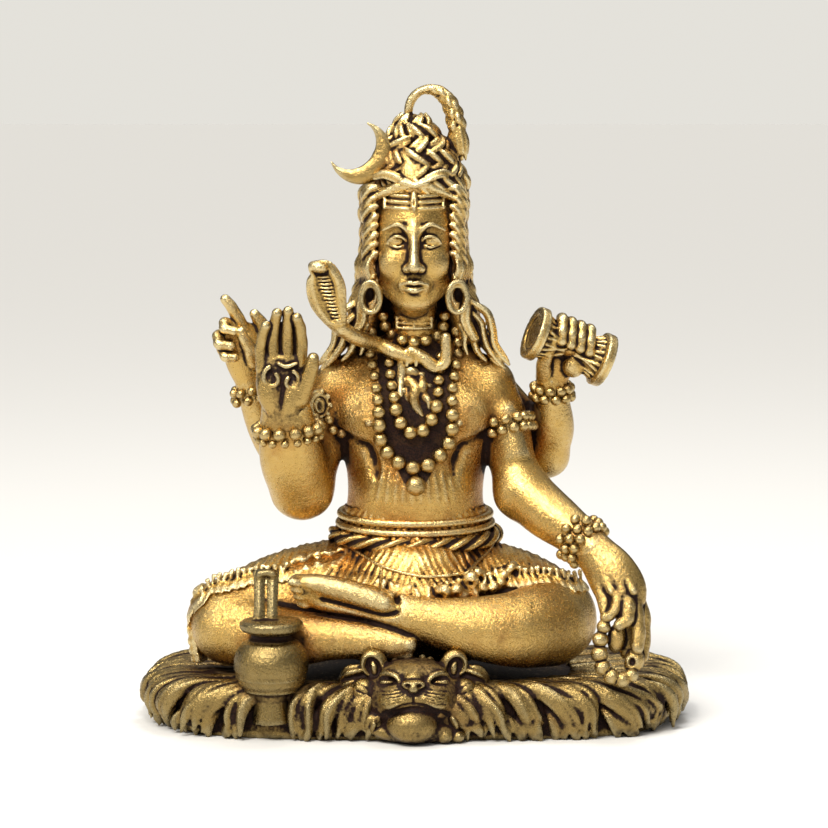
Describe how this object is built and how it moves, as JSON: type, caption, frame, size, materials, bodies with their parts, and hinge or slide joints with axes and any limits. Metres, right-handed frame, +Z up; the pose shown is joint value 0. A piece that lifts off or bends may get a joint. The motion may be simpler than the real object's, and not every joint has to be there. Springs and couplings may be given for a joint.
{
  "type": "seated four-armed shiva idol",
  "caption": "Small cast brass idol of a four-armed Shiva seated cross-legged on a pelt with a lion's head, with cobra, bead strings, drum, water pot and crescent.",
  "frame": {"origin": "centre of the underside of the pelt that the figure sits on, at the middle of the outline's width and depth", "axes": "+Z up, the figure faces -Y, its left hand side is +X"},
  "size_m": [0.129, 0.069, 0.1499],
  "materials": {
    "brass": "polished on the high places, dark patina in the hollows"
  },
  "bodies": {
    "root": {"shiva_figure": "brass"}
  },
  "joints": []
}
